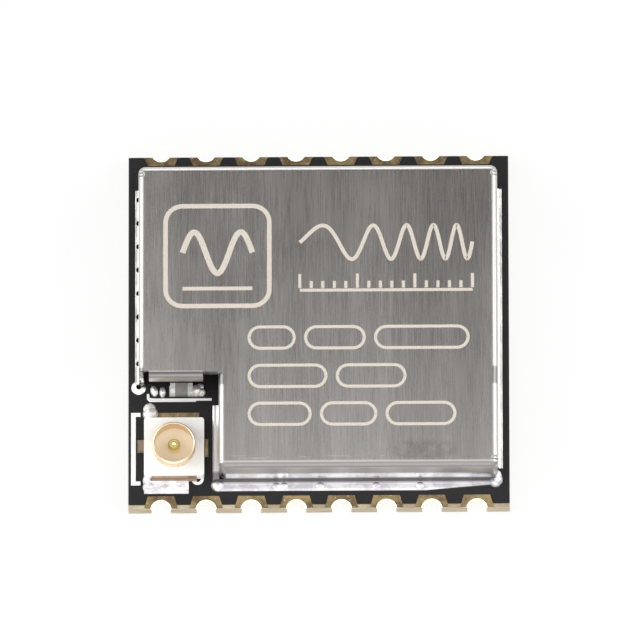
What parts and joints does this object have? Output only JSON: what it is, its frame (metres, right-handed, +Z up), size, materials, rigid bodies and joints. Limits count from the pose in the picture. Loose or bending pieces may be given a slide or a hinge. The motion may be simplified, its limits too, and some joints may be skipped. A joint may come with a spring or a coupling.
{
  "type": "long-range radio module",
  "caption": "Castellated surface-mount radio module: black circuit board with half-hole pads, folded shield can with a stepped corner and a miniature coaxial receptacle.",
  "frame": {"origin": "centre of the board's outline at the undersides of the pads", "axes": "+X along the longer side, away from the receptacle; +Y away from the edge nearer the receptacle; +Z up out of the shield can"},
  "size_m": [0.0168, 0.0162, 0.0032],
  "materials": {
    "laminate": "glass-epoxy laminate, satin cut edges",
    "solder_mask": "black liquid solder mask, satin",
    "gold_plating": "immersion gold over nickel, satin",
    "nickel_silver": "nickel silver sheet brushed along Y",
    "solder": "bright reflowed tin solder",
    "legend": "white legend ink",
    "housing": "white liquid-crystal polymer",
    "contact_gold": "polished gold plating",
    "moulded_black": "black epoxy moulding",
    "capacitor_ceramic": "unglazed brown ceramic",
    "match_ceramic": "unglazed grey ceramic",
    "inductor_ceramic": "unglazed pale blue ceramic",
    "resistor_ceramic": "glassed black film on white ceramic",
    "tin_terminal": "matte tin plating",
    "crystal_ceramic": "dark ceramic base",
    "crystal_metal": "seam-welded nickel lid"
  },
  "bodies": {
    "root": {"circuit_board": "laminate", "solder_mask_top": "solder_mask", "solder_mask_bottom": "solder_mask", "castellations_back": "gold_plating", "castellations_front": "gold_plating", "shield_land": "gold_plating", "legend_ink": "legend", "shield_can": "nickel_silver", "shield_solder": "solder", "receptacle_lands": "gold_plating", "receptacle_housing": "housing", "receptacle_shell": "contact_gold", "receptacle_contact": "contact_gold", "receptacle_solder": "solder", "match_lands": "gold_plating", "match_capacitor_body": "match_ceramic", "match_capacitor_terminals": "tin_terminal", "match_solder": "solder", "transceiver_lands": "gold_plating", "transceiver_solder": "solder", "transceiver_leads": "tin_terminal", "transceiver_body": "moulded_black", "crystal_lands": "gold_plating", "crystal_solder": "solder", "crystal_base": "crystal_ceramic", "crystal_lid": "crystal_metal", "switch_lands": "gold_plating", "switch_solder": "solder", "switch_leads": "tin_terminal", "switch_body": "moulded_black", "passive_lands": "gold_plating", "passive_solder": "solder", "capacitor_bodies": "capacitor_ceramic", "inductor_bodies": "inductor_ceramic", "resistor_bodies": "resistor_ceramic", "passive_terminals": "tin_terminal"}
  },
  "joints": []
}
